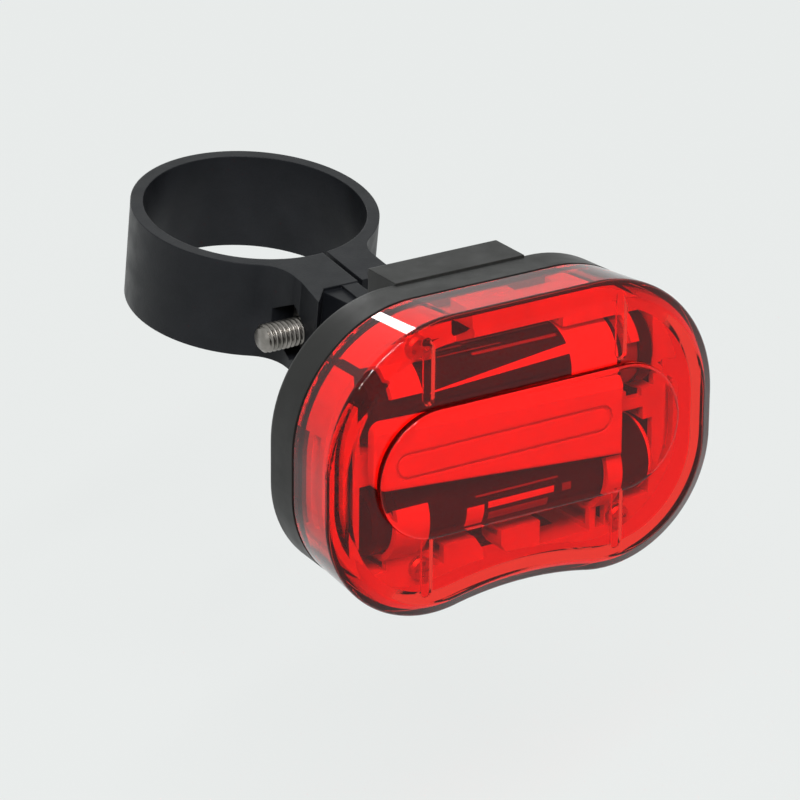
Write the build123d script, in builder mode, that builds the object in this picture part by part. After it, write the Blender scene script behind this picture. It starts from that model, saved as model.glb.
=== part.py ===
from build123d import *
import os
from math import atan2, cos, degrees, radians, sin

# Bike rear light on a seat-post clamp, in millimetres.
# +Z runs up the clamp's bore, the lamp faces -Y, and the origin is the middle of the bore.

# Clamp band and its ears
post_r = 15.45
band_wall = 1.75
band_height = 14.0
ear_left = 5.9
ear_right = 7.5
ear_front = 24.3
ear_flare_r = 5.5
ear_slit = 0.7
ear_slit_offset = 1.7
prong_length = 3.1
prong_spread = 0.9
prong_width = 1.8
prong_root = 2.6

# Arm from the left ear to the slide rail
arm_root_left = 4.1
arm_neck_half = 2.6
arm_taper_length = 5.0
arm_height = 13.0
arm_bite = 2.0
arm_ridge_half = 1.2
arm_ridge_height = 0.4

# Clamp screw and nut
screw_r = 2.0
screw_length = 18.0
screw_reach = 20.2
screw_drop = 1.3
screw_clear = 0.3
screw_head_r = 3.4
screw_head_height = 2.4
screw_head_round = 1.1
screw_head_sunk = 0.4
screw_drive_width = 0.9
screw_drive_length = 4.2
screw_drive_depth = 1.4
screw_tip_chamfer = 0.5
nut_across_flats = 7.0
nut_thickness = 3.2
nut_sunk = 2.2
nut_bore_clear = 0.05
nut_pocket_clear = 0.15
nut_chamfer = 0.35

# Lamp placing and outline
lamp_reach = 57.0
lamp_rise = 2.5
lamp_tilt = 8.0
half_width = 29.0
half_height = 19.5
shoulder_r = 18.0
lobe_r = 15.4
dip_depth = 1.4

# Base shell
base_depth = 6.3
base_floor_wall = 1.5
base_back_inset = 0.3
base_back_r = 1.1
spigot_gap = 0.3
spigot_wall = 0.8
spigot_rise = 0.8
boss_r = 1.5
boss_top = 4.4

# Seal in the seam
seal_thickness = 0.5
seal_recess = 0.25
seal_width = 1.2

# Slide channel at the back of the base, and the rail that fits it
block_half_width = 10.0
block_depth = 6.0
block_length = 28.0
block_edge_r = 0.7
lip_thickness = 1.4
rail_half_width = 7.4
rail_thickness = 2.6
rail_top = 14.5
rail_length = 22.0
rail_clear = 0.3
rail_stop_clear = 0.15
rail_chamfer = 0.6
slot_clear = 0.5

# Lens
lens_wall = 1.5
lens_flare = 0.9
lens_side = 9.8
lens_depth = 11.1
lens_shoulder_inset = 2.1
lens_edge_r = 0.9
lens_shoulder_r = 0.8
plateau_half_length = 23.3
plateau_half_height = 8.9
plateau_rise = 1.1
plateau_edge_r = 0.7
rib_place = 14.9
rib_width = 1.7
rib_depth = 0.75
rib_draft = 20.0

# Cells
cell_r = 5.25
can_length = 43.5
nub_r = 1.9
nub_height = 1.0
can_rim = 0.6
cell_upper_offset = 8.0
cell_lower_offset = 7.5
cell_depth = 2.5
sleeve_step_place = 3.4
sleeve_step_width = 0.8
sleeve_step_depth = 0.25

# Inner frame
frame_clear = 0.25
frame_wall = 1.0
brim_clear = 0.3
deck_top = 5.6
deck_thickness = 1.0
trough_clear = 0.25
trough_wall = 0.7
clip_wall = 0.9
clip_low_angle = 10.0
upper_clip_high_angle = 68.0
lower_clip_high_angle = 115.0
upper_left_clip_x = -17.4
upper_left_clip_width = 4.6
upper_right_clip_x = 17.9
upper_right_clip_width = 1.4
lower_left_clip_x = -16.8
lower_left_clip_width = 4.9
lower_right_clip_x = 14.6
lower_right_clip_width = 2.4
end_slot_width = 1.5
end_slot_height = 12.7
end_slot_pitch = 2.6
end_slot_depth = 2.3
end_slot_lift = 5.3
notch_depth = 2.6
left_notch_x = -7.3
left_notch_width = 3.2
right_notch_x = 6.0
right_notch_width = 6.0
right_notch_height = 1.8
end_gap_width = 1.3
left_gap_x = -17.5
left_gap_bottom = -13.8
left_gap_top = 12.6
right_gap_x = 22.6
right_gap_bottom = -9.0
right_gap_top = 5.6
end_notch_left = 23.7
end_notch_bottom = -0.4
end_notch_top = 5.4
opening_bite = 3.5
top_opening_left = -12.2
top_opening_right = 8.4
button_opening_left = -6.2
button_opening_right = -0.7
button_mouth_left = -3.4
button_mouth_right = 2.6
button_mouth_top = -15.2
side_opening_left = -11.7
side_opening_right = -9.7
side_opening_edge = -15.6
end_opening_left = -21.3
end_opening_right = -18.6
end_opening_bottom = -14.6
end_opening_top = -12.3
low_opening_left = 5.4
low_opening_right = 13.3
low_opening_edge = -16.3
low_slot_left = 14.3
low_slot_right = 15.7
low_slot_edge = -16.1
bar_slot_left = 17.8
bar_slot_right = 21.2
bar_slot_bottom = -2.6
bar_slot_top = -0.2
high_slot_left = 18.4
high_slot_right = 20.9
high_slot_bottom = 1.4
high_slot_top = 4.0

# Light bar and the plinth that holds it
plinth_left = -19.0
plinth_right = 14.6
plinth_bottom = -2.2
plinth_top = 2.3
plinth_rise = 7.95
bar_left = -23.0
bar_right = 15.3
bar_left_bottom = -1.3
bar_left_top = 7.8
bar_right_bottom = -4.3
bar_right_top = 6.4
bar_corner_r = 1.6
bar_thickness = 1.5
bar_edge_r = 0.4
bar_slope_run = 1.25
bar_slope_drop = 0.9
bar_groove_left = -20.0
bar_groove_right = 13.6
bar_groove_middle = 1.4
bar_groove_half = 1.9
bar_groove_width = 0.45
bar_groove_depth = 0.4

# Board, light-emitting diodes and the parts soldered to the board
board_thickness = 0.8
board_half_length = 16.5
board_half_height = 9.6
board_corner_r = 1.5
board_tab_half = 4.5
board_tab_reach = 13.9
led_r = 1.5
led_flange_r = 1.6
led_flange_height = 0.7
led_height = 5.0
led_tip = 7.9
led_pitch = 11.0
led_leg = 0.5
led_leg_pitch = 1.8
led_hole_clear = 0.1
led_dome_share = 0.95
chip_length = 4.9
chip_width = 3.7
chip_height = 1.3
chip_bevel = 0.2
capacitor_length = 3.2
capacitor_width = 1.6
capacitor_height = 1.2

# Push button and its switch
button_half_length = 4.5
button_half_height = 1.6
button_clear = 0.3
button_flange = 0.7
button_flange_lip = 0.35
button_flange_thickness = 0.5
button_flange_clear = 0.1
button_proud = 0.7
button_edge_r = 0.4
button_travel = 0.4
switch_half_width = 3.0
switch_depth = 2.4
switch_height = 2.6
plunger_r = 0.7
plunger_clear = 0.05
plunger_gap = 0.05
plunger_grip = 1.0
plunger_room = 0.7

# Contacts
contact_thickness = 0.3
contact_half_width = 2.2
contact_half_depth = 2.1
leaf_half_length = 1.9
leaf_half_depth = 1.1
contact_slot_clear = 0.1

# Frame screws
frame_screw_r = 0.9
frame_screw_head_r = 1.6
frame_screw_head_height = 1.0
frame_screw_chamfer = 0.3
frame_screw_length = 5.0
frame_screw_clear = 0.05
frame_screw_drive = 1.1
frame_screw_drive_depth = 0.5
frame_screw_left_x = -13.6
frame_screw_left_y = -15.1
frame_screw_right_x = 17.4
frame_screw_right_y = -14.8
frame_screw_top_x = -14.3
frame_screw_top_y = 15.3
boss_hole_clear = 0.2

overrun = 1.0

band_r = post_r + band_wall
shoulder_x = half_width - shoulder_r
shoulder_y = half_height - shoulder_r
lobe_x = half_width - lobe_r
lobe_y = lobe_r - half_height
dip_drop = lobe_r - dip_depth
dip_r = (lobe_x**2 + dip_drop**2 - lobe_r**2) / (2 * dip_depth)
lobe_sweep = degrees(atan2(lobe_x, dip_drop + dip_r))
dip_y = dip_depth - half_height

tilt_sin = sin(radians(lamp_tilt))
tilt_cos = cos(radians(lamp_tilt))
lamp = Plane(origin=(0, -lamp_reach, lamp_rise), x_dir=(1, 0, 0), z_dir=(0, -tilt_cos, tilt_sin))
lamp_axis = Axis(lamp.origin, lamp.z_dir)
across = Plane(origin=lamp.origin, x_dir=lamp.y_dir, z_dir=lamp.x_dir)

screw_spot = (-screw_reach, -screw_drop)
screw_seat = Plane.YZ.offset(ear_right - screw_head_sunk)
nut_face = nut_sunk - ear_left

floor_depth = base_floor_wall - base_depth
rim_inset = lens_wall + spigot_gap
cavity_inset = rim_inset + spigot_wall
block_back = -base_depth - block_depth
rail_back = block_back + lip_thickness + rail_clear
block_bottom = half_height - block_length
board_front = floor_depth + board_thickness
button_depth = board_front + switch_depth / 2
under = Plane(
    origin=lamp.from_local_coords(Vector(0, 0, button_depth)),
    x_dir=lamp.x_dir,
    z_dir=-lamp.y_dir,
)
inner_dip = dip_y + cavity_inset
flange_outer = inner_dip + button_flange_clear
flange_inner = flange_outer + button_flange_thickness
switch_bottom = flange_inner + plunger_gap + button_travel + plunger_room
switch_top = switch_bottom + switch_height + frame_clear
can_half = can_length / 2
nub_end = can_half + nub_height
contact_place = nub_end + contact_thickness / 2 + contact_slot_clear
cell_places = {"upper": cell_upper_offset, "lower": -cell_lower_offset}
clip_reach = 2 * (cell_r + trough_clear + clip_wall)
bridge_middle = (cell_upper_offset - cell_lower_offset) / 2
bridge_half = (cell_upper_offset + cell_lower_offset) / 2 + contact_half_width
clips = (
    (1, upper_left_clip_x, upper_left_clip_width, upper_clip_high_angle),
    (1, upper_right_clip_x, upper_right_clip_width, upper_clip_high_angle),
    (-1, lower_left_clip_x, lower_left_clip_width, lower_clip_high_angle),
    (-1, lower_right_clip_x, lower_right_clip_width, lower_clip_high_angle),
)
frame_screw_spots = (
    (frame_screw_left_x, frame_screw_left_y),
    (frame_screw_right_x, frame_screw_right_y),
    (frame_screw_top_x, frame_screw_top_y),
)


def kidney(depth, grow):
    """The lamp's outline at a depth along its axis, grown or shrunk all round."""
    with BuildSketch(lamp.offset(depth)) as outline:
        with BuildLine():
            top = half_height + grow
            side = half_width + grow
            Line((0, top), (shoulder_x, top))
            CenterArc((shoulder_x, shoulder_y), shoulder_r + grow, 90, -90)
            Line((side, shoulder_y), (side, lobe_y))
            CenterArc((lobe_x, lobe_y), lobe_r + grow, 0, -90 - lobe_sweep)
            CenterArc((0, lobe_y - dip_drop - dip_r), dip_r - grow, 90 - lobe_sweep, lobe_sweep)
            mirror(about=Plane.YZ)
        make_face()
    return outline.sketch


def stadium(depth, half_length, half_high):
    """A slot outline with round ends, centred on the lamp's axis."""
    with BuildSketch(lamp.offset(depth)) as outline:
        SlotOverall(2 * half_length, 2 * half_high)
    return outline.sketch


def oblong(depth, centre, size):
    """A rectangle on the lamp's plane at a depth, from its centre and size."""
    with BuildSketch(lamp.offset(depth)) as outline:
        with Locations(centre):
            Rectangle(*size)
    return outline.sketch


def cutout(depth, left, right, bottom, top):
    """A rectangle on the lamp's plane at a depth, from its four edges."""
    return oblong(depth, ((left + right) / 2, (bottom + top) / 2), (right - left, top - bottom))


def polygon(depth, *points):
    """A straight-edged outline on the lamp's plane at a depth."""
    with BuildSketch(lamp.offset(depth)) as outline:
        with BuildLine():
            Polyline(*points, close=True)
        make_face()
    return outline.sketch


def discs(depth, centres, radius):
    """Equal circles on the lamp's plane at a depth."""
    with BuildSketch(lamp.offset(depth)) as outline:
        with Locations(*centres):
            Circle(radius)
    return outline.sketch


def save(part, name):
    """Label a finished piece and write it."""
    part.label = name
    export_step(part, f"parts/{name}.step")


os.makedirs("parts", exist_ok=True)

# Clamp band: a split ring with two ears, pointed prongs, and an arm that carries the rail
slit_left = ear_slit_offset - ear_slit / 2
arm_end = -ear_front - arm_taper_length
with BuildPart() as clamp_band:
    with BuildSketch(Plane.XY.offset(-band_height / 2)) as plan:
        Circle(band_r)
        with Locations(((ear_right - ear_left) / 2, -ear_front / 2)):
            Rectangle(ear_left + ear_right, ear_front)
        fillet(plan.vertices().sort_by(Axis.Y)[2:4], ear_flare_r)
        for side, edge in ((-1, ear_left), (1, ear_right)):
            with BuildLine():
                Polyline(
                    (side * edge, prong_root - ear_front),
                    (side * (edge + prong_spread), -ear_front - prong_length),
                    (side * (edge - prong_width), -ear_front),
                    (side * (edge - prong_width), prong_root - ear_front),
                    close=True,
                )
            make_face()
        Circle(post_r, mode=Mode.SUBTRACT)
        with Locations((ear_slit_offset, -ear_front)):
            Rectangle(ear_slit, 2 * (ear_front - post_r / 2), mode=Mode.SUBTRACT)
    extrude(amount=band_height)
    with BuildSketch(Plane.XY.offset(-arm_height / 2)):
        with BuildLine():
            Polyline(
                (-arm_root_left, arm_bite - ear_front),
                (-arm_root_left, -ear_front),
                (-arm_neck_half, arm_end),
                (-arm_neck_half, -lamp_reach),
                (arm_neck_half, -lamp_reach),
                (arm_neck_half, arm_end),
                (slit_left, -ear_front),
                (slit_left, arm_bite - ear_front),
                close=True,
            )
        make_face()
    extrude(amount=arm_height)
    with BuildSketch(Plane.XY.offset(arm_height / 2)):
        with Locations((0, -(ear_front + lamp_reach) / 2)):
            Rectangle(2 * arm_ridge_half, lamp_reach - ear_front)
    extrude(amount=arm_ridge_height)
    split(bisect_by=lamp.offset(rail_back), keep=Keep.BOTTOM)
    rail_size = (2 * rail_half_width, rail_length)
    extrude(oblong(rail_back, (0, rail_top - rail_length / 2), rail_size), amount=rail_thickness)
    rail_face = clamp_band.faces().sort_by(lamp_axis)[-1]
    chamfer(rail_face.edges(), rail_chamfer)
    with BuildSketch(Plane.YZ):
        with Locations(screw_spot):
            Circle(screw_r + screw_clear)
    extrude(amount=ear_right + ear_flare_r, both=True, mode=Mode.SUBTRACT)
    with BuildSketch(Plane.YZ.offset(nut_face + nut_thickness)):
        with Locations(screw_spot):
            RegularPolygon(nut_across_flats / 2 + nut_pocket_clear, 6, major_radius=False, rotation=30)
    extrude(amount=-nut_thickness - nut_sunk - ear_flare_r, mode=Mode.SUBTRACT)
    with BuildSketch(screw_seat):
        with Locations(screw_spot):
            Circle(screw_head_r + screw_clear)
    extrude(amount=screw_head_sunk + ear_flare_r, mode=Mode.SUBTRACT)
save(clamp_band.part, "clamp_band")

# Clamp screw: a pan head against the right ear, its shank through both ears and the nut
with BuildPart() as clamp_screw:
    with BuildSketch(screw_seat):
        with Locations(screw_spot):
            Circle(screw_head_r)
    extrude(amount=screw_head_height)
    fillet(clamp_screw.edges().sort_by(Axis.X)[-1], screw_head_round)
    with BuildSketch(screw_seat.offset(screw_head_height)):
        with Locations(screw_spot):
            Rectangle(screw_drive_length, screw_drive_width)
            Rectangle(screw_drive_width, screw_drive_length)
    extrude(amount=-screw_drive_depth, mode=Mode.SUBTRACT)
    with BuildSketch(screw_seat):
        with Locations(screw_spot):
            Circle(screw_r)
    extrude(amount=-screw_length)
    chamfer(clamp_screw.edges().sort_by(Axis.X)[0], screw_tip_chamfer)
save(clamp_screw.part, "clamp_screw")

# Clamp nut in its pocket
with BuildPart() as clamp_nut:
    with BuildSketch(Plane.YZ.offset(nut_face)):
        with Locations(screw_spot):
            RegularPolygon(nut_across_flats / 2, 6, major_radius=False, rotation=30)
            Circle(screw_r + nut_bore_clear, mode=Mode.SUBTRACT)
    extrude(amount=nut_thickness)
    chamfer(clamp_nut.edges().filter_by(GeomType.LINE).group_by(Axis.X)[0], nut_chamfer)
save(clamp_nut.part, "clamp_nut")

# Base shell: a shallow kidney tray with a sealing spigot, screw bosses and the slide channel
with BuildPart() as base_shell:
    loft([kidney(-base_depth, -base_back_inset), kidney(0, 0)], ruled=True)
    back_face = base_shell.faces().sort_by(lamp_axis)[0]
    fillet(back_face.edges(), base_back_r)
    extrude(kidney(0, -rim_inset), amount=spigot_rise)
    with BuildSketch(lamp.offset(block_back)) as block:
        with Locations((0, half_height - block_length / 2)):
            Rectangle(2 * block_half_width, block_length)
    extrude(amount=block_depth + base_back_r)
    block_face = base_shell.faces().sort_by(lamp_axis)[0]
    fillet(block_face.edges(), block_edge_r)
    extrude(kidney(floor_depth, -cavity_inset), amount=base_depth + spigot_rise, mode=Mode.SUBTRACT)
    extrude(discs(floor_depth, frame_screw_spots, boss_r), amount=boss_top - floor_depth)
    pilot_r = frame_screw_r + frame_screw_clear
    extrude(
        discs(boss_top, frame_screw_spots, pilot_r),
        amount=-frame_screw_length,
        mode=Mode.SUBTRACT,
    )
    channel_top = rail_top + rail_stop_clear
    channel_length = channel_top - block_bottom + overrun
    extrude(
        oblong(
            rail_back - rail_clear,
            (0, channel_top - channel_length / 2),
            (2 * (rail_half_width + rail_clear), channel_length),
        ),
        amount=rail_thickness + 2 * rail_clear,
        mode=Mode.SUBTRACT,
    )
    arm_top = arm_height / 2 + arm_ridge_height - lamp_rise - block_back * tilt_sin
    slot_top = arm_top / tilt_cos + slot_clear
    slot_length = slot_top - block_bottom + overrun
    extrude(
        oblong(
            block_back,
            (0, slot_top - slot_length / 2),
            (2 * (arm_neck_half + slot_clear), slot_length),
        ),
        amount=lip_thickness + rail_clear,
        mode=Mode.SUBTRACT,
    )
    with BuildSketch(under.offset(-inner_dip - overrun)):
        SlotOverall(2 * (button_half_length + button_clear), 2 * (button_half_height + button_clear))
    extrude(amount=cavity_inset + 2 * overrun, mode=Mode.SUBTRACT)
save(base_shell.part, "base_shell")

# Seal: a flat rubber ring in the seam, round the spigot
with BuildPart() as seal_ring:
    extrude(kidney(0, -seal_recess), amount=seal_thickness)
    extrude(kidney(0, -seal_recess - seal_width), amount=seal_thickness, mode=Mode.SUBTRACT)
save(seal_ring.part, "seal_ring")

# Lens: a flared, hollow cap with a bevelled front, a raised stadium and four inner ribs
side_grow = lens_flare
front_grow = lens_flare - lens_shoulder_inset
front_inner = lens_depth - lens_wall
side_inner = lens_side - lens_wall
with BuildPart() as lens:
    outer_side = kidney(lens_side, side_grow)
    loft([kidney(seal_thickness, 0), outer_side], ruled=True)
    loft([outer_side, kidney(lens_depth, front_grow)], ruled=True)
    fillet(lens.edges().group_by(lamp_axis)[2], lens_shoulder_r)
    fillet(lens.faces().sort_by(lamp_axis)[-1].edges(), lens_edge_r)
    extrude(stadium(lens_depth, plateau_half_length, plateau_half_height), amount=plateau_rise)
    fillet(lens.faces().sort_by(lamp_axis)[-1].edges(), plateau_edge_r)
    inner_side = kidney(side_inner, side_grow - lens_wall)
    loft([kidney(seal_thickness, -lens_wall), inner_side], ruled=True, mode=Mode.SUBTRACT)
    loft([inner_side, kidney(front_inner, front_grow - lens_wall)], ruled=True, mode=Mode.SUBTRACT)
    rib_length = half_height - lens_wall - plateau_half_height
    rib_middle = plateau_half_height + rib_length / 2
    with BuildSketch(lamp.offset(front_inner)):
        with GridLocations(2 * rib_place, 2 * rib_middle, 2, 2):
            SlotOverall(rib_length, rib_width, rotation=90)
    extrude(amount=-rib_depth, taper=rib_draft)
save(lens.part, "lens")

# Cells: sleeved cans with a stepped sleeve end and a positive nub, laid head to tail
for name, place in cell_places.items():
    side = 1 if place > 0 else -1
    lying = Plane(origin=lamp.origin, x_dir=lamp.y_dir, z_dir=side * lamp.x_dir)
    spot = (place, side * cell_depth)
    with BuildPart() as cell:
        with BuildSketch(lying.offset(-can_half)):
            with Locations(spot):
                Circle(cell_r)
        extrude(amount=can_length)
        chamfer(cell.edges().filter_by(GeomType.CIRCLE), can_rim)
        with BuildSketch(lying.offset(can_half - sleeve_step_place)):
            with Locations(spot):
                Circle(cell_r)
                Circle(cell_r - sleeve_step_depth, mode=Mode.SUBTRACT)
        extrude(amount=sleeve_step_width, mode=Mode.SUBTRACT)
        with BuildSketch(lying.offset(can_half)):
            with Locations(spot):
                Circle(nub_r)
        extrude(amount=nub_height)
    save(cell.part, f"cell_{name}")

# Inner frame: a skirted deck with two open troughs, clips over the cells and the light bar's plinth
trough_r = cell_r + trough_clear
skirt_inset = cavity_inset + frame_clear
brim_inset = lens_wall + brim_clear
brim_bottom = spigot_rise + frame_clear
frame_height = deck_top - floor_depth
skirt_inner = skirt_inset + frame_wall
trough_spots = [(place, cell_depth) for place in cell_places.values()]
led_spots = [(number * led_pitch, 0) for number in (-1, 0, 1)]
with BuildPart() as inner_frame:
    extrude(kidney(floor_depth, -skirt_inset), amount=frame_height)
    extrude(kidney(brim_bottom, -brim_inset), amount=deck_top - brim_bottom)
    extrude(
        kidney(floor_depth, -skirt_inner),
        amount=frame_height - deck_thickness,
        mode=Mode.SUBTRACT,
    )
    with BuildSketch(across.offset(-nub_end)):
        with Locations(*trough_spots):
            Circle(trough_r + trough_wall)
        with Locations((0, deck_top + half_height)):
            Rectangle(4 * half_height, 2 * half_height, mode=Mode.SUBTRACT)
    extrude(amount=2 * nub_end)
    extrude(kidney(floor_depth, -brim_inset), amount=frame_height, mode=Mode.INTERSECT)
    outside = kidney(floor_depth, 0) - kidney(floor_depth, -skirt_inset)
    extrude(outside, amount=brim_bottom - floor_depth, mode=Mode.SUBTRACT)
    with BuildSketch(across.offset(-nub_end)):
        with Locations(*trough_spots):
            Circle(trough_r)
            Rectangle(2 * trough_r, half_height, align=(Align.CENTER, Align.MIN))
    extrude(amount=2 * nub_end, mode=Mode.SUBTRACT)
    for edge, place, width, high_angle in clips:
        middle = cell_upper_offset if edge > 0 else cell_lower_offset
        with BuildSketch(across.offset(place - width / 2)):
            with Locations((edge * middle, cell_depth)):
                Circle(trough_r + clip_wall)
                Circle(trough_r, mode=Mode.SUBTRACT)
            with BuildLine():
                Polyline(
                    (edge * middle, cell_depth),
                    *[
                        (
                            edge * (middle + clip_reach * cos(radians(angle))),
                            cell_depth + clip_reach * sin(radians(angle)),
                        )
                        for angle in (clip_low_angle, (clip_low_angle + high_angle) / 2, high_angle)
                    ],
                    close=True,
                )
            make_face(mode=Mode.INTERSECT)
        extrude(amount=width)
    plinth = cutout(deck_top, plinth_left, plinth_right, plinth_bottom, plinth_top)
    extrude(plinth, amount=plinth_rise - deck_top)
    led_hole_r = led_flange_r + led_hole_clear
    extrude(
        discs(floor_depth, led_spots, led_hole_r),
        amount=plinth_rise - floor_depth,
        mode=Mode.SUBTRACT,
    )
    extrude(
        discs(floor_depth, frame_screw_spots, boss_r + boss_hole_clear),
        amount=frame_height - deck_thickness,
        mode=Mode.SUBTRACT,
    )
    extrude(
        discs(floor_depth, frame_screw_spots, frame_screw_r + boss_hole_clear),
        amount=frame_height,
        mode=Mode.SUBTRACT,
    )
    switch_room = switch_half_width + frame_clear
    extrude(
        cutout(floor_depth, -switch_room, switch_room, -2 * half_height, switch_top),
        amount=button_depth + switch_depth / 2 + frame_clear - floor_depth,
        mode=Mode.SUBTRACT,
    )
    button_room = button_half_length + button_flange + frame_clear
    extrude(
        cutout(floor_depth, -button_room, button_room, -2 * half_height, switch_bottom),
        amount=brim_bottom - floor_depth,
        mode=Mode.SUBTRACT,
    )
    upper_start = cell_upper_offset + opening_bite
    lower_start = -cell_lower_offset - opening_bite
    slot_start = -cell_lower_offset - trough_r
    gap_band = kidney(floor_depth, -skirt_inset) - kidney(floor_depth, -skirt_inset - end_gap_width)
    openings = (
        gap_band & cutout(floor_depth, -half_width, left_gap_x, left_gap_bottom, left_gap_top),
        gap_band & cutout(floor_depth, right_gap_x, half_width, right_gap_bottom, right_gap_top),
        polygon(
            floor_depth,
            (end_notch_left, end_notch_top),
            (half_width, end_notch_top),
            (half_width, end_notch_bottom),
        ),
        cutout(floor_depth, top_opening_left, top_opening_right, upper_start, half_height - skirt_inner),
        polygon(
            floor_depth,
            (button_opening_left, lower_start),
            (button_opening_right, lower_start),
            (button_opening_right, button_mouth_top),
            (button_mouth_right, -half_height),
            (button_mouth_left, -half_height),
            (button_mouth_left, button_mouth_top),
        ),
        cutout(floor_depth, side_opening_left, side_opening_right, side_opening_edge, lower_start),
        cutout(floor_depth, end_opening_left, end_opening_right, end_opening_bottom, end_opening_top),
        cutout(floor_depth, low_opening_left, low_opening_right, low_opening_edge, lower_start),
        cutout(floor_depth, low_slot_left, low_slot_right, low_slot_edge, slot_start),
        cutout(floor_depth, bar_slot_left, bar_slot_right, bar_slot_bottom, bar_slot_top),
        cutout(floor_depth, high_slot_left, high_slot_right, high_slot_bottom, high_slot_top),
    )
    for opening in openings:
        extrude(opening, amount=frame_height, mode=Mode.SUBTRACT)
    slot_x = half_width - brim_inset
    for end in (-1, 1):
        for row in (0, 1):
            extrude(
                oblong(
                    floor_depth + end_slot_lift + row * end_slot_pitch,
                    (end * slot_x, (shoulder_y + lobe_y) / 2),
                    (2 * end_slot_depth, end_slot_height),
                ),
                amount=end_slot_width,
                mode=Mode.SUBTRACT,
            )
    notch_reach = 2 * (brim_inset + notch_depth)
    extrude(
        oblong(brim_bottom, (left_notch_x, half_height), (left_notch_width, notch_reach)),
        amount=deck_top - brim_bottom,
        mode=Mode.SUBTRACT,
    )
    extrude(
        oblong(brim_bottom, (right_notch_x, half_height), (right_notch_width, notch_reach)),
        amount=right_notch_height,
        mode=Mode.SUBTRACT,
    )
    contact_room = contact_place + contact_thickness / 2 + contact_slot_clear - nub_end
    room_y = contact_half_width + contact_slot_clear
    room_w = contact_half_depth + contact_slot_clear
    with BuildSketch(across.offset(nub_end)):
        with Locations(*[(spot, cell_depth - room_w) for spot, _ in trough_spots]):
            Rectangle(2 * room_y, 2 * room_w, align=(Align.CENTER, Align.MIN))
    extrude(amount=contact_room, mode=Mode.SUBTRACT)
    with BuildSketch(across.offset(-nub_end)):
        with Locations((bridge_middle, cell_depth - room_w)):
            Rectangle(2 * (bridge_half + contact_slot_clear), 2 * room_w, align=(Align.CENTER, Align.MIN))
    extrude(amount=-contact_room, mode=Mode.SUBTRACT)
save(inner_frame.part, "inner_frame")

# Light bar: a milky strip with a round and a square end, a slope along its top and a racetrack groove
with BuildPart() as light_bar:
    with BuildSketch(lamp.offset(plinth_rise)) as bar_plan:
        with BuildLine():
            Polyline(
                (bar_left, bar_left_bottom),
                (bar_right, bar_right_bottom),
                (bar_right, bar_right_top),
                (bar_left, bar_left_top),
                close=True,
            )
        make_face()
        fillet(bar_plan.vertices().sort_by(Axis.X)[:2], bar_corner_r)
    extrude(amount=bar_thickness)
    fillet(light_bar.faces().sort_by(lamp_axis)[-1].edges(), bar_edge_r)
    bar_run = lamp.x_dir * (bar_right - bar_left) + lamp.y_dir * (bar_right_top - bar_left_top)
    bar_up = lamp.z_dir.cross(bar_run).normalized()
    slope_foot = Vector(bar_left, bar_left_top, plinth_rise + bar_thickness - bar_slope_drop)
    slope_face = bar_up * bar_slope_drop + lamp.z_dir * bar_slope_run
    slope = Plane(origin=lamp.from_local_coords(slope_foot), x_dir=bar_run, z_dir=slope_face)
    split(bisect_by=slope, keep=Keep.BOTTOM)
    groove_length = bar_groove_right - bar_groove_left
    with BuildSketch(lamp.offset(plinth_rise + bar_thickness)):
        with Locations(((bar_groove_left + bar_groove_right) / 2, bar_groove_middle)):
            SlotOverall(groove_length, 2 * bar_groove_half)
            SlotOverall(
                groove_length - 2 * bar_groove_width,
                2 * (bar_groove_half - bar_groove_width),
                mode=Mode.SUBTRACT,
            )
    extrude(amount=-bar_groove_depth, mode=Mode.SUBTRACT)
save(light_bar.part, "light_bar")

# Board: a rounded rectangle with a tab that reaches the switch
with BuildPart() as led_board:
    with BuildSketch(lamp.offset(floor_depth)):
        RectangleRounded(2 * board_half_length, 2 * board_half_height, board_corner_r)
        with Locations((0, -board_tab_reach)):
            Rectangle(2 * board_tab_half, board_tab_reach, align=(Align.CENTER, Align.MIN))
    extrude(amount=board_thickness)
save(led_board.part, "led_board")

# Light-emitting diodes: domed, flanged bodies on pairs of legs that stand on the board
for name, spot in zip(("left", "centre", "right"), led_spots):
    with BuildPart() as led:
        led_base = led_tip - led_height
        extrude(discs(led_base, [spot], led_flange_r), amount=led_flange_height)
        extrude(discs(led_base, [spot], led_r), amount=led_height)
        fillet(led.edges().sort_by(lamp_axis)[-1], led_r * led_dome_share)
        for side in (-1, 1):
            leg_spot = (spot[0] + side * led_leg_pitch / 2, 0)
            extrude(oblong(board_front, leg_spot, (led_leg, led_leg)), amount=led_base - board_front)
    save(led.part, f"led_{name}")

# Flash controller and capacitor on the board between the diodes
with BuildPart() as driver_chip:
    extrude(oblong(board_front, (led_pitch / 2, 0), (chip_length, chip_width)), amount=chip_height)
    chamfer(driver_chip.faces().sort_by(lamp_axis)[-1].edges(), chip_bevel)
save(driver_chip.part, "driver_chip")

with BuildPart() as capacitor:
    capacitor_size = (capacitor_length, capacitor_width)
    extrude(oblong(board_front, (-led_pitch / 2, 0), capacitor_size), amount=capacitor_height)
save(capacitor.part, "capacitor")

# Switch on the board's tab, and its plunger
with BuildPart() as switch_body:
    switch_size = (2 * switch_half_width, switch_height)
    switch_spot = (0, switch_bottom + switch_height / 2)
    extrude(oblong(board_front, switch_spot, switch_size), amount=switch_depth)
    with BuildSketch(under.offset(-switch_bottom)):
        Circle(plunger_r + plunger_clear)
    extrude(amount=-plunger_grip - button_travel - button_travel, mode=Mode.SUBTRACT)
save(switch_body.part, "switch_body")

with BuildPart() as switch_plunger:
    with BuildSketch(under.offset(-switch_bottom - plunger_grip)):
        Circle(plunger_r)
    extrude(amount=plunger_grip + switch_bottom - flange_inner - plunger_gap)
save(switch_plunger.part, "switch_plunger")

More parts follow.
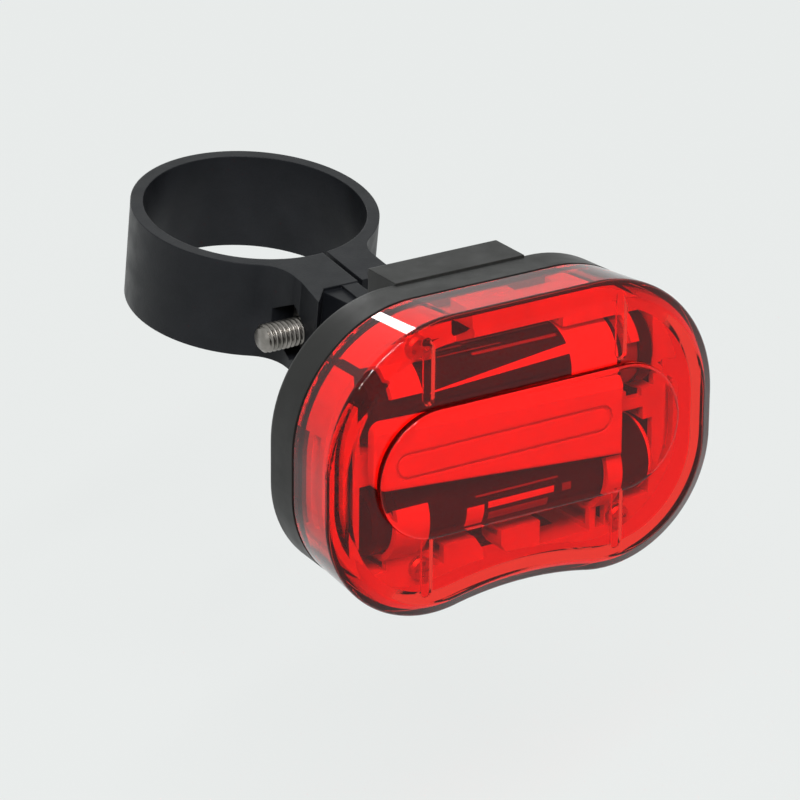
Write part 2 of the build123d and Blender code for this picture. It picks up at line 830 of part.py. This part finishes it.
# Button cap: an oblong rubber key through the underside, held by a flange inside
with BuildPart() as button_cap:
    with BuildSketch(under.offset(-flange_inner)):
        SlotOverall(
            2 * (button_half_length + button_flange),
            2 * (button_half_height + button_flange_lip),
        )
    extrude(amount=button_flange_thickness)
    with BuildSketch(under.offset(-flange_outer)):
        SlotOverall(2 * button_half_length, 2 * button_half_height)
    extrude(amount=flange_outer - dip_y + button_proud)
    fillet(button_cap.faces().sort_by(Axis(lamp.origin, under.z_dir))[-1].edges(), button_edge_r)
save(button_cap.part, "button_cap")

# Contacts: two plates at one end, a bridge at the other, with bowed leaves at the flat can ends
plates = {
    "contact_positive": (1, cell_upper_offset, contact_half_width, ()),
    "contact_negative": (1, -cell_lower_offset, contact_half_width, (-cell_lower_offset,)),
    "contact_bridge": (-1, bridge_middle, bridge_half, (cell_upper_offset,)),
}
for name, (end, middle, half_span, leaves) in plates.items():
    with BuildPart() as contact:
        with BuildSketch(across.offset(end * contact_place - contact_thickness / 2)):
            with Locations((middle, cell_depth)):
                Rectangle(2 * half_span, 2 * contact_half_depth)
        extrude(amount=contact_thickness)
        for leaf in leaves:
            with BuildSketch(lamp.offset(cell_depth - leaf_half_depth)):
                with BuildLine() as bow:
                    ThreePointArc(
                        (end * contact_place, leaf - leaf_half_length),
                        (end * (can_half + contact_thickness), leaf),
                        (end * contact_place, leaf + leaf_half_length),
                    )
                trace(bow.line, line_width=contact_thickness)
            extrude(amount=2 * leaf_half_depth)
    save(contact.part, name)

# Frame screws: three pan heads on the deck, shanks in the base's bosses
with BuildPart() as frame_screws:
    extrude(discs(deck_top, frame_screw_spots, frame_screw_head_r), amount=frame_screw_head_height)
    head_tops = frame_screws.faces().sort_by(lamp_axis)[-len(frame_screw_spots) :]
    chamfer(head_tops.edges(), frame_screw_chamfer)
    with BuildSketch(lamp.offset(deck_top + frame_screw_head_height)):
        with Locations(*frame_screw_spots):
            Rectangle(2 * frame_screw_drive, frame_screw_drive / 2)
            Rectangle(frame_screw_drive / 2, 2 * frame_screw_drive)
    extrude(amount=-frame_screw_drive_depth, mode=Mode.SUBTRACT)
    extrude(discs(deck_top, frame_screw_spots, frame_screw_r), amount=-frame_screw_length)
save(frame_screws.part, "frame_screws")
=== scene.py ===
"""Bike rear light: finishes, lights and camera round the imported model."""
import math

import bmesh
import bpy
from mathutils import Matrix, Vector


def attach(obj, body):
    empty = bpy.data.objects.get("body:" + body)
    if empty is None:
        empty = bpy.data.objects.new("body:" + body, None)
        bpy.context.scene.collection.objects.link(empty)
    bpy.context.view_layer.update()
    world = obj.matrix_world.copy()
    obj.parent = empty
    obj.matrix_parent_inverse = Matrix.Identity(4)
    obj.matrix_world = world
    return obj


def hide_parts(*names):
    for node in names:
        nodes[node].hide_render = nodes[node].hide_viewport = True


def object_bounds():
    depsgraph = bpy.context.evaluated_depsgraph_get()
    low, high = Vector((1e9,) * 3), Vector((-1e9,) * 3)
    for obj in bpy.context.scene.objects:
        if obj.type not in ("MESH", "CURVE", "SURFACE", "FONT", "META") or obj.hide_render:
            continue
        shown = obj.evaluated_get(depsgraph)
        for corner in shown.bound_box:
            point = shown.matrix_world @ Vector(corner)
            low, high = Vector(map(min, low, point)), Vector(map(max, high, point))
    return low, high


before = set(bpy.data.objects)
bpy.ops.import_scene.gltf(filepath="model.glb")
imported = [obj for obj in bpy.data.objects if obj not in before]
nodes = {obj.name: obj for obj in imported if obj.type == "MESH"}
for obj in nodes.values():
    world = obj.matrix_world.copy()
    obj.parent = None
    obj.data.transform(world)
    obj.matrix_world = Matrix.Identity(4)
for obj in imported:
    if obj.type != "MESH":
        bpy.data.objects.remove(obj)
CAD_LOW, CAD_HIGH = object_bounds()

MM = 0.001

# Camera: angles in degrees, distances in metres, lens and sensor in millimetres, and the pixel that
# shows the frame's origin
PICTURE = 800
CAMERA_AZIMUTH = -35.55
CAMERA_ELEVATION = 28.8
CAMERA_ROLL = 5.55
CAMERA_DISTANCE = 0.7124
CAMERA_NEAREST = 0.05
CAMERA_LENS = 231.9
SENSOR = 36.0
ORIGIN_U = 251.5
ORIGIN_V = 251.9

# Floor, in metres, and how much of it is its own plain colour where it is looked at
FLOOR_DROP = 0.06
FLOOR_SIZE = 6.0
FLOOR_ROUGHNESS = 0.9
FLOOR_SPECULAR = 0.1
FLOOR_GLOW = 0.94
BACKGROUND = (0.831, 0.855, 0.847)

# Sky: its strength, and its colours from straight down (0) to straight up (1)
SKY_STRENGTH = 0.12
SKY_UNDER = (0.42, 0.42, 0.42)
SKY_SIDE = (0.85, 0.86, 0.87)
SKY_TOP = (0.95, 0.97, 1.0)
SKY_STOPS = ((0.0, SKY_UNDER), (0.45, SKY_UNDER), (0.56, SKY_SIDE), (1.0, SKY_TOP))

# Lights: azimuth and elevation in degrees and distance in metres as seen from the lamp, width and
# height in metres, power in watts, turn about the light's own axis in degrees, and whether it shows
# in reflections
LIGHTS = (
    ("strip", -35.3, 52.9, 0.9, (0.6, 0.05), 7.0, 50.9, True),
    ("key", -10.0, 35.0, 0.7, (0.3, 0.25), 0.6, 0.0, False),
    ("rear", 167.0, 19.8, 0.8, (0.07, 0.1), 0.42, 0.0, True),
)

# Lamp's frame: origin on its axis, the direction that is up on it, and the way it faces
LAMP_ORIGIN = Vector((0.0, -57.0, 2.5)) * MM
LAMP_TILT = math.radians(8.0)
LAMP_UP = Vector((0.0, math.sin(LAMP_TILT), math.cos(LAMP_TILT)))
LAMP_OUT = Vector((0.0, -math.cos(LAMP_TILT), math.sin(LAMP_TILT)))

# Cells: how far out and how high their axes lie in the lamp's frame
CELL_OUT = 2.5 * MM
UPPER_HEIGHT = 8.0 * MM
LOWER_HEIGHT = -7.5 * MM

# Sleeves: their colours, their plain marks, and on the upper sleeve one painted reflection. A mark
# is a span along the cell in millimetres from the lamp's middle, a span round it in degrees upwards
# from the front, and a colour. Where the span round it slants, each of its limits is a pair, for
# the mark's left and right end;
# the one slanted mark is the pale wedge of painted reflection on the upper cell's upper front.
DARK_SLEEVE = (0.008, 0.008, 0.01)
WORN_SLEEVE = (0.016, 0.014, 0.018)
PALE_SLEEVE = (0.7, 0.66, 0.6)
MID_SLEEVE = (0.2, 0.17, 0.16)
WHOLE = (-180.0, 180.0)
UPPER_MARKS_AND_REFLECTION = (
    ((8.4, 15.6), WHOLE, PALE_SLEEVE),
    ((15.6, 16.2), WHOLE, DARK_SLEEVE),
    ((16.2, 19.0), WHOLE, MID_SLEEVE),
    ((-5.6, 8.0), (85.0, 89.0), MID_SLEEVE),
    ((-5.5, 7.6), (57.0, 62.0), MID_SLEEVE),
    ((-10.2, -5.9), (80.0, 84.0), MID_SLEEVE),
    ((-10.4, -0.6), (67.0, 69.0), MID_SLEEVE),
    # Painted reflection: a pale wedge standing in for bright light reflected off the sleeve's upper
    # front, not print
    ((-13.5, 8.4), ((17.5, 27.0), (19.5, 42.0)), PALE_SLEEVE),
)
LOWER_MARKS = (
    ((-4.6, 5.7), (-6.0, 4.0), PALE_SLEEVE),
    ((-6.5, 6.4), (14.0, 17.0), MID_SLEEVE),
    ((-7.9, -5.2), (-30.0, 2.0), PALE_SLEEVE),
    ((-4.4, 4.9), (-26.0, -13.0), MID_SLEEVE),
    ((7.0, 8.4), (-8.0, 4.0), MID_SLEEVE),
    ((20.8, 22.0), WHOLE, PALE_SLEEVE),
)

# Finishes: the noise at which a varied finish reaches its two ends, and the samples of a rounding
NOISE_ENDS = (0.3, 0.7)
EDGE_SAMPLES = 4

# Clamp screw: the thread, with the rise of its flanks as a share of its depth per pitch, the points
# of its mesh round it and per pitch, and the angle in degrees above which its edges stay sharp
SCREW_R = 2.0 * MM
SCREW_PITCH = 0.7 * MM
THREAD_DEPTH = 0.38 * MM
FLANK_RISE = 2.6
TIP_CHAMFER = 0.6 * MM
THREAD_SIDES = 32
THREAD_STEPS = 8
THREAD_SHARP = 50.0

# Clamp screw: the pan head and its cross recess
HEAD_HEIGHT = 2.4 * MM
HEAD_ROUND = 1.1 * MM
HEAD_SIDES = 48
HEAD_STEPS = 8
HEAD_SHARP = 35.0
RECESS_WIDTH = 0.9 * MM
RECESS_LENGTH = 4.2 * MM
RECESS_DEPTH = 1.4 * MM


def node_box(name):
    """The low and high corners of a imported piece."""
    corners = [nodes[name].matrix_world @ Vector(corner) for corner in nodes[name].bound_box]
    return [Vector([pick(c[k] for c in corners) for k in range(3)]) for pick in (min, max)]


SCREW_LOW, SCREW_HIGH = node_box("clamp_screw")
SCREW_Y = (SCREW_LOW.y + SCREW_HIGH.y) / 2
SCREW_Z = (SCREW_LOW.z + SCREW_HIGH.z) / 2
HEAD_R = (SCREW_HIGH.y - SCREW_LOW.y) / 2
HEAD_SEAT = SCREW_HIGH.x - HEAD_HEIGHT
SHANK_LENGTH = HEAD_SEAT - SCREW_LOW.x


def bearing(azimuth, elevation):
    """The direction towards an azimuth and an elevation in degrees."""
    azimuth, elevation = math.radians(azimuth), math.radians(elevation)
    level = math.cos(elevation)
    return Vector((math.sin(azimuth) * level, -math.cos(azimuth) * level, math.sin(elevation)))


def place_in_scene(name, data):
    """An object of its own in the scene."""
    made = bpy.data.objects.new(name, data)
    bpy.context.scene.collection.objects.link(made)
    return made


def node_math(tree, operation, *values, clamp=False):
    """A maths node on sockets or numbers."""
    made = tree.nodes.new("ShaderNodeMath")
    made.operation = operation
    made.use_clamp = clamp
    for socket, value in zip(made.inputs, values):
        if isinstance(value, (int, float)):
            socket.default_value = value
        else:
            tree.links.new(value, socket)
    return made.outputs["Value"]


def node_ramp(tree, source, stops):
    """A colour ramp from (place, value or colour) stops."""
    made = tree.nodes.new("ShaderNodeValToRGB")
    elements = made.color_ramp.elements
    while len(elements) < len(stops):
        elements.new(0.5)
    for element, (place, value) in zip(elements, stops):
        element.position = place
        color = value if isinstance(value, tuple) else (value, value, value)
        element.color = (*color, 1.0)
    tree.links.new(source, made.inputs["Fac"])
    return made.outputs["Color"]


def node_mix(tree, share, first, second):
    """The first shader, giving way to the second by a share."""
    made = tree.nodes.new("ShaderNodeMixShader")
    tree.links.new(share, made.inputs["Fac"])
    tree.links.new(first, made.inputs[1])
    tree.links.new(second, made.inputs[2])
    return made.outputs["Shader"]


class Finish:
    """A Principled material with helpers for its node tree."""

    def __init__(self, name, color, roughness, **values):
        self.material = bpy.data.materials.new(name)
        self.material.use_nodes = True
        self.tree = self.material.node_tree
        self.shader = self.tree.nodes["Principled BSDF"]
        self.shader.inputs["Base Color"].default_value = (*color, 1.0)
        self.shader.inputs["Roughness"].default_value = roughness
        for key, value in values.items():
            self.shader.inputs[key.replace("_", " ")].default_value = value
        self.coords = self.node("ShaderNodeTexCoord")

    def node(self, kind, **settings):
        made = self.tree.nodes.new(kind)
        for key, value in settings.items():
            setattr(made, key, value)
        return made

    def link(self, source, target):
        self.tree.links.new(source, target)

    def feed(self, source, name):
        """Sets an input of the shader from a socket."""
        self.link(source, self.shader.inputs[name])

    def noise(self, scale, detail, stretch=None):
        """Noise on object coordinates, scale in cells per metre, with an optional stretch."""
        made = self.node("ShaderNodeTexNoise")
        made.inputs["Scale"].default_value = scale
        made.inputs["Detail"].default_value = detail
        source = self.coords.outputs["Object"]
        if stretch:
            mapping = self.node("ShaderNodeMapping")
            mapping.inputs["Scale"].default_value = stretch
            self.link(source, mapping.inputs["Vector"])
            source = mapping.outputs["Vector"]
        self.link(source, made.inputs["Vector"])
        return made.outputs["Fac"]

    def clouds(self, low, high, scale, detail=4.0):
        """Values or colours that vary between two by noise."""
        stops = tuple(zip(NOISE_ENDS, (low, high)))
        return node_ramp(self.tree, self.noise(scale, detail), stops)

    def vary_roughness(self, low, high, scale):
        self.feed(self.clouds(low, high, scale), "Roughness")

    def vary_color(self, dark, light, scale):
        self.feed(self.clouds(dark, light, scale), "Base Color")

    def grain(self, scale, detail, strength, depth, edge=0.0, stretch=None):
        """Small bumps from noise, depth in metres, over a small rounding of the edges."""
        made = self.node("ShaderNodeBump")
        made.inputs["Strength"].default_value = strength
        made.inputs["Distance"].default_value = depth
        self.link(self.noise(scale, detail, stretch), made.inputs["Height"])
        if edge:
            rounding = self.node("ShaderNodeBevel", samples=EDGE_SAMPLES)
            rounding.inputs["Radius"].default_value = edge
            self.link(rounding.outputs["Normal"], made.inputs["Normal"])
        self.feed(made.outputs["Normal"], "Normal")

    def math(self, operation, *values):
        return node_math(self.tree, operation, *values)

    def along(self, direction, start):
        """Distance along a direction from a point, in metres."""
        made = self.node("ShaderNodeVectorMath", operation="DOT_PRODUCT")
        made.inputs[1].default_value = direction
        self.link(self.coords.outputs["Object"], made.inputs[0])
        return self.math("SUBTRACT", made.outputs["Value"], direction.dot(start))

    def within(self, value, low, high):
        """One between two limits and zero outside them."""
        return self.math("COMPARE", value, (low + high) / 2, (high - low) / 2)

    def slanted(self, value, place, ends, low, high):
        """One between two limits that each run evenly from one end of a span to the other."""
        share = self.math("DIVIDE", self.math("SUBTRACT", place, ends[0]), ends[1] - ends[0])
        bottom, top = (
            self.math("ADD", self.math("MULTIPLY", share, last - first), first)
            for first, last in (low, high)
        )
        above = self.math("GREATER_THAN", value, bottom)
        below = self.math("LESS_THAN", value, top)
        return self.math("MULTIPLY", above, below)

    def paint(self, under, mask, color):
        """A colour laid over another where a mask is one."""
        made = self.node("ShaderNodeMix", data_type="RGBA")
        self.link(mask, made.inputs["Factor"])
        self.link(under, made.inputs["A"])
        made.inputs["B"].default_value = (*color, 1.0)
        return made.outputs["Result"]

    def give_way(self, share, other):
        """Lets another shader take the surface by a share."""
        mixed = node_mix(self.tree, share, self.shader.outputs["BSDF"], other)
        self.link(mixed, self.tree.nodes["Material Output"].inputs["Surface"])

    def clear_to_light(self, tint):
        """Lets light through to what is behind, tinted at each surface."""
        path = self.node("ShaderNodeLightPath")
        clear = self.node("ShaderNodeBsdfTransparent")
        clear.inputs["Color"].default_value = (*tint, 1.0)
        self.give_way(path.outputs["Is Shadow Ray"], clear.outputs["BSDF"])

    def dress(self, *names):
        for name in names:
            nodes[name].data.materials.clear()
            nodes[name].data.materials.append(self.material)
        return self


def bracket_plastic():
    made = Finish("bracket_plastic", (0.008, 0.009, 0.011), 0.4, Specular_IOR_Level=0.2)
    made.vary_roughness(0.34, 0.48, scale=350.0)
    made.vary_color((0.006, 0.007, 0.009), (0.012, 0.013, 0.016), scale=160.0)
    made.grain(4200.0, 4.0, strength=0.3, depth=0.06 * MM, edge=0.25 * MM)
    return made


def base_plastic():
    made = Finish("base_plastic", (0.012, 0.012, 0.011), 0.42, Specular_IOR_Level=0.25)
    made.vary_roughness(0.36, 0.5, scale=260.0)
    made.vary_color((0.009, 0.009, 0.008), (0.016, 0.016, 0.015), scale=140.0)
    made.grain(5200.0, 4.0, strength=0.22, depth=0.06 * MM, edge=0.25 * MM)
    return made


def lens_red():
    made = Finish(
        "lens_red", (1.0, 0.035, 0.022), 0.02,
        IOR=1.4, Transmission_Weight=0.99, Specular_Tint=(0.6, 0.6, 0.6, 1.0),
    )
    made.vary_roughness(0.012, 0.035, scale=220.0)
    made.grain(90.0, 2.0, strength=0.05, depth=0.2 * MM)
    made.clear_to_light((0.97, 0.42, 0.36))
    return made


def bar_milky():
    made = Finish("bar_milky", (0.66, 0.65, 0.63), 0.3, Specular_IOR_Level=0.3)
    made.vary_roughness(0.26, 0.36, scale=300.0)
    made.grain(300.0, 2.0, strength=0.05, depth=0.1 * MM, edge=0.2 * MM)
    return made


def frame_plastic():
    made = Finish("frame_plastic", (0.62, 0.61, 0.59), 0.4, Specular_IOR_Level=0.3)
    made.vary_roughness(0.34, 0.48, scale=240.0)
    made.vary_color((0.57, 0.56, 0.54), (0.66, 0.65, 0.63), scale=120.0)
    made.grain(3800.0, 3.0, strength=0.1, depth=0.05 * MM, edge=0.1 * MM)
    return made


def cell_sleeve(name, height, marks):
    """A dark shrink sleeve with its plain marks and, on the upper cell, a painted reflection."""
    made = Finish(name, DARK_SLEEVE, 0.3, Specular_IOR_Level=0.15)
    made.vary_roughness(0.24, 0.38, scale=300.0)
    place = made.along(Vector((1.0, 0.0, 0.0)), Vector())
    rise = made.math("SUBTRACT", made.along(LAMP_UP, LAMP_ORIGIN), height)
    out = made.math("SUBTRACT", made.along(LAMP_OUT, LAMP_ORIGIN), CELL_OUT)
    turn = made.math("ARCTAN2", rise, out)
    color = made.clouds(DARK_SLEEVE, WORN_SLEEVE, scale=200.0, detail=3.0)
    for (left, right), (low, high), tone in marks:
        ends = (left * MM, right * MM)
        # A slanted span is the pale wedge of painted reflection on the upper sleeve
        if isinstance(low, tuple):
            low, high = (tuple(math.radians(angle) for angle in limit) for limit in (low, high))
            arc = made.slanted(turn, place, ends, low, high)
        else:
            arc = made.within(turn, math.radians(low), math.radians(high))
        color = made.paint(color, made.math("MULTIPLY", made.within(place, *ends), arc), tone)
    made.feed(color, "Base Color")
    made.grain(900.0, 3.0, strength=0.1, depth=0.08 * MM)
    return made


def soft_rubber():
    made = Finish("soft_rubber", (0.02, 0.02, 0.02), 0.72)
    made.vary_roughness(0.64, 0.8, scale=500.0)
    made.grain(6000.0, 3.0, strength=0.2, depth=0.05 * MM)
    return made


def zinc_steel():
    made = Finish("zinc_steel", (0.25, 0.24, 0.22), 0.34, Metallic=1.0)
    made.vary_roughness(0.28, 0.44, scale=900.0)
    made.vary_color((0.18, 0.17, 0.155), (0.32, 0.3, 0.28), scale=500.0)
    made.grain(3000.0, 4.0, strength=0.12, depth=0.04 * MM, stretch=(0.1, 1.0, 1.0))
    return made


def bright_zinc():
    made = Finish("bright_zinc", (0.6, 0.6, 0.6), 0.3, Metallic=1.0)
    made.vary_roughness(0.24, 0.4, scale=900.0)
    made.grain(3000.0, 3.0, strength=0.1, depth=0.04 * MM)
    return made


def spring_nickel():
    made = Finish("spring_nickel", (0.78, 0.76, 0.72), 0.25, Metallic=1.0)
    made.vary_roughness(0.2, 0.34, scale=800.0)
    made.grain(2500.0, 3.0, strength=0.1, depth=0.04 * MM, stretch=(1.0, 0.1, 1.0))
    return made


def board_laminate():
    made = Finish("board_laminate", (0.03, 0.16, 0.06), 0.35, Coat_Weight=0.5, Coat_Roughness=0.2)
    made.vary_color((0.02, 0.12, 0.045), (0.05, 0.22, 0.09), scale=700.0)
    made.grain(1500.0, 2.0, strength=0.1, depth=0.05 * MM)
    return made


def black_epoxy():
    made = Finish("black_epoxy", (0.02, 0.02, 0.02), 0.5)
    made.vary_roughness(0.42, 0.6, scale=900.0)
    made.grain(7000.0, 2.0, strength=0.2, depth=0.03 * MM)
    return made


def diode_epoxy():
    made = Finish("diode_epoxy", (1.0, 0.25, 0.2), 0.05, IOR=1.54, Transmission_Weight=0.85)
    made.vary_roughness(0.03, 0.1, scale=900.0)
    made.clear_to_light((0.95, 0.5, 0.45))
    return made


def mesh_piece(name, build, body, material):
    """A piece whose mesh a function fills, riding on a body."""
    mesh = bpy.data.meshes.new(name)
    work = bmesh.new()
    build(work)
    bmesh.ops.recalc_face_normals(work, faces=work.faces)
    work.to_mesh(mesh)
    work.free()
    piece = place_in_scene(name, mesh)
    mesh.materials.append(material)
    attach(piece, body)
    return piece


def smooth(piece, angle):
    """Smooth shading with sharp edges kept above an angle in degrees."""
    for polygon in piece.data.polygons:
        polygon.use_smooth = True
    piece.data.set_sharp_from_angle(angle=math.radians(angle))


def about_screw(x, radius, turn):
    """The point at a place along the screw's axis, a radius from it and a turn round it."""
    return x, SCREW_Y + radius * math.cos(turn), SCREW_Z + radius * math.sin(turn)


def bridge(work, first, second):
    """Faces between two rings of points, where one ring may be a single point."""
    sides = max(len(first), len(second))
    for side in range(sides):
        after = (side + 1) % sides
        if len(first) == 1:
            work.faces.new((first[0], second[side], second[after]))
        elif len(second) == 1:
            work.faces.new((first[side], second[0], first[after]))
        else:
            work.faces.new((first[side], second[side], second[after], first[after]))


def thread_form(work):
    """The shank with its helical thread, pointed at its end."""
    rows = int(SHANK_LENGTH / SCREW_PITCH * THREAD_STEPS)
    tip = SCREW_LOW.x
    rings = []
    for row in range(rows + 1):
        x = tip + SHANK_LENGTH * row / rows
        ring = []
        for side in range(THREAD_SIDES):
            turn = 2 * math.pi * side / THREAD_SIDES
            phase = ((x - tip) / SCREW_PITCH - turn / (2 * math.pi)) % 1.0
            groove = min(1.0, abs(phase - 0.5) * FLANK_RISE)
            radius = SCREW_R - THREAD_DEPTH * (1.0 - groove)
            radius = min(radius, SCREW_R - TIP_CHAMFER + (x - tip))
            ring.append(work.verts.new(about_screw(x, radius, turn)))
        rings.append(ring)
    for first, second in zip(rings, rings[1:]):
        bridge(work, first, second)
    work.faces.new(rings[0])
    work.faces.new(rings[-1])


def head_form(work):
    """The pan head, closed at both ends on the screw's axis."""
    profile = [(HEAD_SEAT, 0), (HEAD_SEAT, HEAD_R)]
    for step in range(HEAD_STEPS + 1):
        turn = math.radians(90 * step / HEAD_STEPS)
        profile.append((
            HEAD_SEAT + HEAD_HEIGHT - HEAD_ROUND + HEAD_ROUND * math.sin(turn),
            HEAD_R - HEAD_ROUND + HEAD_ROUND * math.cos(turn),
        ))
    profile.append((HEAD_SEAT + HEAD_HEIGHT, 0))
    rings = []
    for x, radius in profile:
        count = HEAD_SIDES if radius else 1
        turns = [2 * math.pi * side / HEAD_SIDES for side in range(count)]
        rings.append([work.verts.new(about_screw(x, radius, turn)) for turn in turns])
    for first, second in zip(rings, rings[1:]):
        bridge(work, first, second)


def cut_recess(head):
    """Sinks a cross recess into the head."""
    mesh = bpy.data.meshes.new("recess_cutter")
    work = bmesh.new()
    middle = Matrix.Translation(Vector((SCREW_HIGH.x, SCREW_Y, SCREW_Z)))
    for wide, high in ((RECESS_LENGTH, RECESS_WIDTH), (RECESS_WIDTH, RECESS_LENGTH)):
        scale = Matrix.Diagonal((2 * RECESS_DEPTH, wide, high, 1.0))
        bmesh.ops.create_cube(work, size=1.0, matrix=middle @ scale)
    work.to_mesh(mesh)
    work.free()
    cutter = place_in_scene("recess_cutter", mesh)
    cut = head.modifiers.new("recess", "BOOLEAN")
    cut.object = cutter
    cut.operation = "DIFFERENCE"
    cut.solver = "EXACT"
    cut.use_self = True
    bpy.context.view_layer.update()
    shaped = head.evaluated_get(bpy.context.evaluated_depsgraph_get())
    done = bpy.data.meshes.new_from_object(shaped)
    head.modifiers.clear()
    head.data = done
    bpy.data.objects.remove(cutter)


def clamp_screw(material):
    """The clamp screw with its thread and cross recess."""
    shank = mesh_piece("clamp_screw_thread", thread_form, "screw", material)
    smooth(shank, THREAD_SHARP)
    head = mesh_piece("clamp_screw_head", head_form, "screw", material)
    cut_recess(head)
    smooth(head, HEAD_SHARP)
    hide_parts("clamp_screw")


def share_seen(tree):
    """One where the background is looked at, straight, in a reflection or through glass.

    It is zero for the background's light, and for light that has already met a matt surface.
    """
    path = tree.nodes.new("ShaderNodeLightPath")
    seen = path.outputs["Is Camera Ray"]
    for name in ("Is Glossy Ray", "Is Transmission Ray"):
        seen = node_math(tree, "ADD", seen, path.outputs[name], clamp=True)
    unscattered = node_math(tree, "LESS_THAN", path.outputs["Diffuse Depth"], 0.5)
    return node_math(tree, "MULTIPLY", seen, unscattered)


def world_light():
    """A pale sky for the light and one flat pale colour for the background."""
    world = bpy.data.worlds.new("sky")
    bpy.context.scene.world = world
    world.use_nodes = True
    tree = world.node_tree
    tree.nodes.clear()
    out = tree.nodes.new("ShaderNodeOutputWorld")
    coords = tree.nodes.new("ShaderNodeTexCoord")
    split = tree.nodes.new("ShaderNodeSeparateXYZ")
    tree.links.new(coords.outputs["Generated"], split.inputs["Vector"])
    height = tree.nodes.new("ShaderNodeMapRange")
    height.inputs["From Min"].default_value = -1.0
    height.inputs["From Max"].default_value = 1.0
    tree.links.new(split.outputs["Z"], height.inputs["Value"])
    sky = tree.nodes.new("ShaderNodeBackground")
    sky.inputs["Strength"].default_value = SKY_STRENGTH
    tree.links.new(node_ramp(tree, height.outputs["Result"], SKY_STOPS), sky.inputs["Color"])
    plain = tree.nodes.new("ShaderNodeBackground")
    plain.inputs["Color"].default_value = (*BACKGROUND, 1.0)
    mixed = node_mix(
        tree, share_seen(tree), sky.outputs["Background"], plain.outputs["Background"]
    )
    tree.links.new(mixed, out.inputs["Surface"])


def floor():
    """A plain pale floor under the lamp."""
    half = FLOOR_SIZE / 2
    low = CAD_LOW.z - FLOOR_DROP
    corners = [(-half, -half, low), (half, -half, low), (half, half, low), (-half, half, low)]
    mesh = bpy.data.meshes.new("floor")
    mesh.from_pydata(corners, [], [(0, 1, 2, 3)])
    made = place_in_scene("floor", mesh)
    finish = Finish("floor", BACKGROUND, FLOOR_ROUGHNESS, Specular_IOR_Level=FLOOR_SPECULAR)
    glow = finish.node("ShaderNodeEmission")
    glow.inputs["Color"].default_value = (*BACKGROUND, 1.0)
    share = finish.math("MULTIPLY", share_seen(finish.tree), FLOOR_GLOW)
    finish.give_way(share, glow.outputs["Emission"])
    mesh.materials.append(finish.material)


def area_light(name, azimuth, elevation, distance, size, power, roll, gloss):
    """A soft rectangular light that faces the lamp from a bearing, turned about its own axis."""
    data = bpy.data.lights.new(name, "AREA")
    data.shape = "RECTANGLE"
    data.size, data.size_y = size
    data.energy = power
    made = place_in_scene(name, data)
    toward = bearing(azimuth, elevation)
    facing = toward.to_track_quat("Z", "Y").to_matrix()
    turn = facing @ Matrix.Rotation(math.radians(roll), 3, "Z")
    made.matrix_world = Matrix.Translation(LAMP_ORIGIN + toward * distance) @ turn.to_4x4()
    made.visible_glossy = gloss
    made.visible_transmission = False
    made.visible_camera = False


def camera():
    """The camera at the photograph's angle."""
    azimuth, roll = math.radians(CAMERA_AZIMUTH), math.radians(CAMERA_ROLL)
    back = bearing(CAMERA_AZIMUTH, CAMERA_ELEVATION)
    level = Vector((math.cos(azimuth), math.sin(azimuth), 0.0))
    upright = back.cross(level)
    right = math.cos(roll) * level + math.sin(roll) * upright
    up = math.cos(roll) * upright - math.sin(roll) * level
    focal = CAMERA_LENS * PICTURE / SENSOR
    aside = (ORIGIN_U - PICTURE / 2) / focal * CAMERA_DISTANCE
    above = (PICTURE / 2 - ORIGIN_V) / focal * CAMERA_DISTANCE
    place = back * CAMERA_DISTANCE - right * aside - up * above
    data = bpy.data.cameras.new("camera")
    data.lens = CAMERA_LENS
    data.sensor_width = SENSOR
    data.sensor_fit = "HORIZONTAL"
    data.clip_start = CAMERA_NEAREST
    made = place_in_scene("camera", data)
    turn = Matrix((right, up, back)).transposed()
    made.matrix_world = Matrix.Translation(place) @ turn.to_4x4()
    bpy.context.scene.camera = made


bracket_plastic().dress("clamp_band")
base_plastic().dress("base_shell")
lens_red().dress("lens")
bar_milky().dress("light_bar")
frame_plastic().dress("inner_frame", "switch_plunger")
cell_sleeve("sleeve_upper", UPPER_HEIGHT, UPPER_MARKS_AND_REFLECTION).dress("cell_upper")
cell_sleeve("sleeve_lower", LOWER_HEIGHT, LOWER_MARKS).dress("cell_lower")
soft_rubber().dress("seal_ring", "button_cap")
zinc = zinc_steel().dress("clamp_nut")
bright_zinc().dress("frame_screws")
spring_nickel().dress("contact_bridge", "contact_positive", "contact_negative")
board_laminate().dress("led_board")
black_epoxy().dress("driver_chip", "capacitor", "switch_body")
diode_epoxy().dress("led_left", "led_centre", "led_right")
clamp_screw(zinc.material)

world_light()
floor()
for light in LIGHTS:
    area_light(*light)
camera()

bpy.context.scene.view_settings.view_transform = "Standard"
